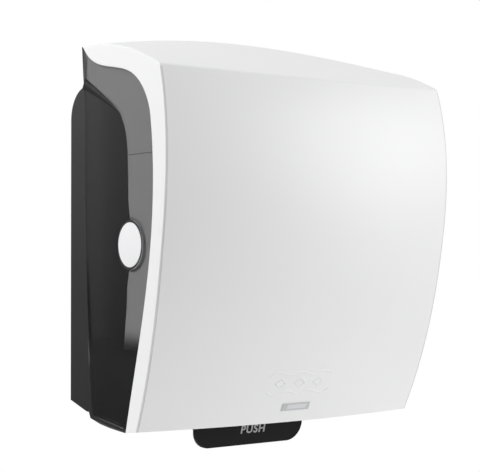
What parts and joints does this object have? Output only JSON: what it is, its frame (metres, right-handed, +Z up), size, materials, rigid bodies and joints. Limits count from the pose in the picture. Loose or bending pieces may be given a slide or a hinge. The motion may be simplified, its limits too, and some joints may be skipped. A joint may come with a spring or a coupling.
{
  "type": "lever paper towel dispenser",
  "caption": "Wall-mounted roll towel dispenser with a bulging hinged cover, smoked side windows, side release buttons and a push lever that feeds the paper.",
  "frame": {"origin": "centre of the four wall screws, in the plane of the wall", "axes": "+X to the right seen from the front, +Y into the wall, +Z up"},
  "size_m": [0.3346, 0.215, 0.403],
  "materials": {
    "white_shell": "satin white moulded ABS",
    "smoked_window": "smoked translucent polycarbonate, glossy",
    "badge": "plain grey plate",
    "white_button": "glossy white",
    "black_housing": "fine textured black ABS",
    "lever_plastic": "satin black",
    "mechanism_plastic": "black nylon",
    "grey_plastic": "grey acetal",
    "gear_plastic": "natural acetal",
    "bush_plastic": "natural nylon",
    "rubber": "dark ground rubber",
    "shaft_steel": "ground steel rod",
    "blade_steel": "stainless strip",
    "spring_steel": "spring wire",
    "screw_steel": "zinc plated"
  },
  "bodies": {
    "housing": {"rear_housing": "black_housing", "bottom_tray": "black_housing", "side_frame_left": "mechanism_plastic", "side_frame_right": "mechanism_plastic", "frame_screws": "screw_steel", "top_plate": "mechanism_plastic", "roller_bushes": "bush_plastic", "lever_bushes": "bush_plastic", "lever_springs": "spring_steel", "pinch_springs": "spring_steel", "front_guide": "mechanism_plastic", "rear_guide": "mechanism_plastic", "tear_bar": "blade_steel", "tear_bar_screws": "screw_steel", "hinge_pins": "shaft_steel", "arm_bracket_left": "mechanism_plastic", "arm_bracket_right": "mechanism_plastic", "arm_pins": "shaft_steel", "arm_spring_left": "spring_steel", "arm_spring_right": "spring_steel", "bracket_screws": "screw_steel", "tray_screws": "screw_steel"},
    "lever": {"push_lever": "lever_plastic", "lever_axle": "shaft_steel", "axle_clips": "spring_steel", "sector_gear": "gear_plastic"},
    "drive_gear": {"drive_gear": "gear_plastic", "drive_pawl": "gear_plastic"},
    "feed_roller": {"roller_shaft": "shaft_steel", "roller_core": "mechanism_plastic", "roller_sleeves": "rubber", "ratchet_wheel": "gear_plastic", "feed_knob": "grey_plastic", "shaft_clip": "spring_steel"},
    "pinch_yoke": {"pinch_yoke": "mechanism_plastic"},
    "pinch_roller": {"pinch_axle": "shaft_steel", "pinch_rollers": "rubber"},
    "roll_arm_left": {"roll_arm_left": "grey_plastic"},
    "roll_arm_right": {"roll_arm_right": "grey_plastic"},
    "roll_hub_left": {"roll_hub_left": "grey_plastic"},
    "roll_hub_right": {"roll_hub_right": "grey_plastic"},
    "cover": {"front_cover": "white_shell", "side_window_left": "smoked_window", "side_window_right": "smoked_window", "badge_plate": "badge", "hinge_arm_left": "black_housing", "hinge_arm_right": "black_housing", "latch_housing_left": "black_housing", "latch_housing_right": "black_housing", "latch_pins": "shaft_steel", "button_spring_left": "spring_steel", "button_spring_right": "spring_steel", "latch_spring_left": "spring_steel", "latch_spring_right": "spring_steel"},
    "button_left": {"release_button_left": "white_button"},
    "button_right": {"release_button_right": "white_button"},
    "latch_left": {"latch_left": "grey_plastic"},
    "latch_right": {"latch_right": "grey_plastic"}
  },
  "joints": [
    {"name": "cover_hinge", "type": "hinge", "parent": "housing", "child": "cover", "pos_m": [0, -0.06, -0.188], "axis": [1, 0, 0], "range_deg": [0, 80]},
    {"name": "lever_push", "type": "hinge", "parent": "housing", "child": "lever", "pos_m": [0, -0.1, -0.172], "axis": [1, 0, 0], "range_deg": [0, 26], "stiffness_Nm_per_rad": 1.2, "springref_deg": -11.46, "deforming": ["lever_springs"]},
    {"name": "drive_gear_spin", "type": "hinge", "parent": "housing", "child": "drive_gear", "pos_m": [0, -0.058, -0.1173], "axis": [1, 0, 0], "range_deg": [-173.4, 0]},
    {"name": "feed_roller_spin", "type": "hinge", "parent": "housing", "child": "feed_roller", "pos_m": [0, -0.058, -0.1173], "axis": [1, 0, 0], "continuous": true},
    {"name": "pinch_arm", "type": "hinge", "parent": "housing", "child": "pinch_yoke", "pos_m": [0, -0.012, -0.089], "axis": [1, 0, 0], "range_deg": [0, 6], "stiffness_Nm_per_rad": 0.4, "springref_deg": -5.73, "deforming": ["pinch_springs"]},
    {"name": "pinch_roller_spin", "type": "hinge", "parent": "pinch_yoke", "child": "pinch_roller", "pos_m": [0, -0.028, -0.1173], "axis": [1, 0, 0], "continuous": true},
    {"name": "roll_arm_swing_right", "type": "hinge", "parent": "housing", "child": "roll_arm_right", "pos_m": [0.122, -0.014, 0.025], "axis": [0, 0, 1], "range_deg": [0, 12], "stiffness_Nm_per_rad": 0.3, "springref_deg": -17.19, "deforming": ["arm_spring_right"]},
    {"name": "roll_arm_swing_left", "type": "hinge", "parent": "housing", "child": "roll_arm_left", "pos_m": [-0.122, -0.014, 0.025], "axis": [0, 0, 1], "range_deg": [-12, 0], "stiffness_Nm_per_rad": 0.3, "springref_deg": 17.19, "deforming": ["arm_spring_left"]},
    {"name": "roll_hub_spin_right", "type": "hinge", "parent": "roll_arm_right", "child": "roll_hub_right", "pos_m": [0.108, -0.103, 0.025], "axis": [1, 0, 0], "continuous": true},
    {"name": "roll_hub_spin_left", "type": "hinge", "parent": "roll_arm_left", "child": "roll_hub_left", "pos_m": [-0.108, -0.103, 0.025], "axis": [1, 0, 0], "continuous": true},
    {"name": "button_press_right", "type": "slide", "parent": "cover", "child": "button_right", "axis": [-1, 0, 0], "range_m": [0, 0.0044], "stiffness_N_per_m": 800, "springref_m": -0.001, "deforming": ["button_spring_right"]},
    {"name": "button_press_left", "type": "slide", "parent": "cover", "child": "button_left", "axis": [1, 0, 0], "range_m": [0, 0.0044], "stiffness_N_per_m": 800, "springref_m": -0.001, "deforming": ["button_spring_left"]},
    {"name": "latch_turn_right", "type": "hinge", "parent": "cover", "child": "latch_right", "pos_m": [0.1514, -0.166, -0.043], "axis": [0, 0, 1], "range_deg": [0, 9], "deforming": ["latch_spring_right"]},
    {"name": "latch_turn_left", "type": "hinge", "parent": "cover", "child": "latch_left", "pos_m": [-0.1514, -0.166, -0.043], "axis": [0, 0, 1], "range_deg": [-9, 0], "deforming": ["latch_spring_left"]}
  ],
  "couplings": [
    {"joint": "drive_gear_spin", "follows": "lever_push", "ratio": -6.6667},
    {"joint": "feed_roller_spin", "follows": "lever_push", "ratio": -6.6667},
    {"joint": "pinch_roller_spin", "follows": "lever_push", "ratio": 13.605},
    {"joint": "latch_turn_right", "follows": "button_press_right", "rad_per_m": 34.483},
    {"joint": "latch_turn_left", "follows": "button_press_left", "rad_per_m": -34.483}
  ]
}
